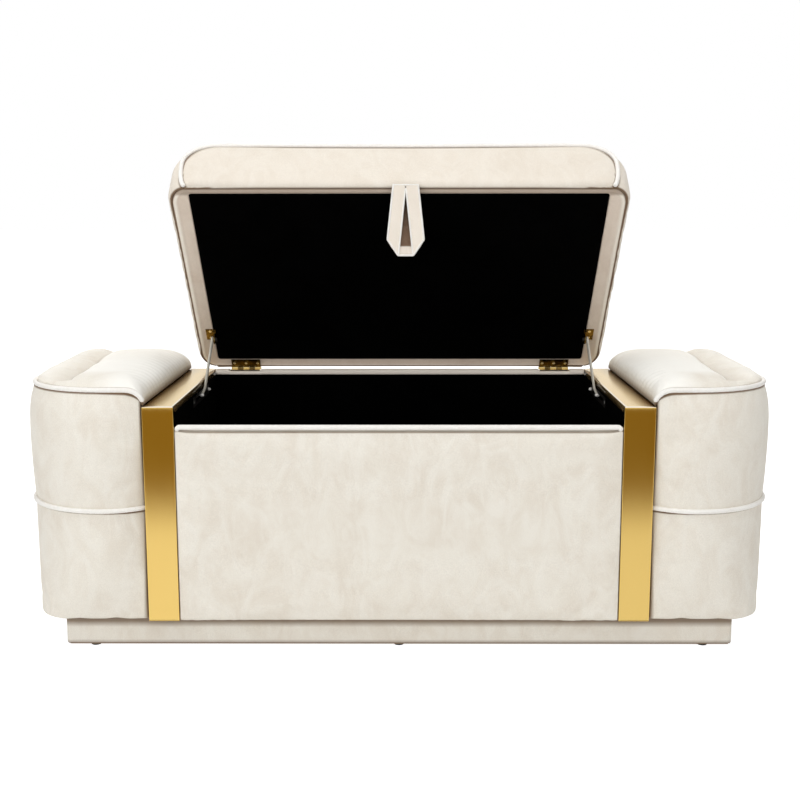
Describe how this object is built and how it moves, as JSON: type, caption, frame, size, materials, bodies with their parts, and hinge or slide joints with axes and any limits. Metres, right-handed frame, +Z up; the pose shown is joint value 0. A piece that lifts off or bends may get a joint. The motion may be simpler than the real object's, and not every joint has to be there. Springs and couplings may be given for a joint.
{
  "type": "storage ottoman bench",
  "caption": "Upholstered storage bench: padded hinged lid held open by rod stays over a lined box, between padded side blocks and metal bands",
  "frame": {"origin": "on the floor, under the middle glide of the plinth, halfway along the bench and midway between the front crown and the back of the side blocks", "axes": "+X along the bench to the right as seen from the front, +Y to the back, +Z up"},
  "size_m": [1.2096, 0.5431, 0.8099],
  "materials": {
    "cream_velvet": "matte",
    "foam": "matte",
    "gold_band": "satin",
    "brass_hardware": "satin",
    "bright_steel": "polished",
    "black_metal": "satin",
    "black_lining": "matte",
    "black_plastic": "matte",
    "plywood": "matte"
  },
  "bodies": {
    "bench": {"back_panel_cover": "cream_velvet", "base_board": "plywood", "box_back_board": "plywood", "box_front_board": "plywood", "box_left_board": "plywood", "box_right_board": "plywood", "floor_glides": "black_plastic", "front_panel_cover": "cream_velvet", "front_panel_foam": "foam", "front_panel_piping": "cream_velvet", "hinge_pins": "brass_hardware", "hinge_rim_leaves": "brass_hardware", "hinge_rim_screws": "brass_hardware", "left_band": "gold_band", "left_block_back_board": "plywood", "left_block_cover": "cream_velvet", "left_block_edge_piping": "cream_velvet", "left_block_foam": "foam", "left_block_front_board": "plywood", "left_block_inner_board": "plywood", "left_block_outer_board": "plywood", "left_block_seam_piping": "cream_velvet", "left_block_top_board": "plywood", "left_stay_track": "black_metal", "lining_back": "black_lining", "lining_floor": "black_lining", "lining_front": "black_lining", "lining_left": "black_lining", "lining_right": "black_lining", "plinth_cross_rails": "plywood", "plinth_long_rails": "plywood", "plinth_wrap": "cream_velvet", "right_band": "gold_band", "right_block_back_board": "plywood", "right_block_cover": "cream_velvet", "right_block_edge_piping": "cream_velvet", "right_block_foam": "foam", "right_block_front_board": "plywood", "right_block_inner_board": "plywood", "right_block_outer_board": "plywood", "right_block_seam_piping": "cream_velvet", "right_block_top_board": "plywood", "right_stay_track": "black_metal", "track_screws": "bright_steel"},
    "lid": {"bracket_screws": "brass_hardware", "hinge_lid_leaves": "brass_hardware", "hinge_lid_screws": "brass_hardware", "left_stay_bracket": "brass_hardware", "lid_back_piping": "cream_velvet", "lid_board": "plywood", "lid_cover": "cream_velvet", "lid_foam": "foam", "lid_front_piping": "cream_velvet", "lid_lining": "black_lining", "right_stay_bracket": "brass_hardware", "stay_pivots": "black_metal"},
    "left_stay": {"left_stay_rod": "bright_steel"},
    "right_stay": {"right_stay_rod": "bright_steel"},
    "tab": {"pull_tab": "cream_velvet"}
  },
  "joints": [
    {"name": "lid_hinge", "type": "hinge", "parent": "bench", "child": "lid", "pos_m": [0, 0.2283, 0.4004], "axis": [-1, 0, 0], "range_deg": [-51, 0]},
    {"name": "left_stay_pivot", "type": "hinge", "parent": "lid", "child": "left_stay", "pos_m": [-0.3474, 0.16156, 0.46216], "axis": [-1, 0, 0], "range_deg": [0, 83.28]},
    {"name": "right_stay_pivot", "type": "hinge", "parent": "lid", "child": "right_stay", "pos_m": [0.3474, 0.16156, 0.46216], "axis": [-1, 0, 0], "range_deg": [0, 83.28]},
    {"name": "tab_swing", "type": "hinge", "parent": "lid", "child": "tab", "pos_m": [0.011, -0.04705, 0.74343], "axis": [-1, 0, 0], "range_deg": [-10, 66]}
  ],
  "couplings": [
    {"joint": "left_stay_pivot", "follows": "lid_hinge", "ratio": -1.6326},
    {"joint": "right_stay_pivot", "follows": "lid_hinge", "ratio": -1.6326}
  ]
}
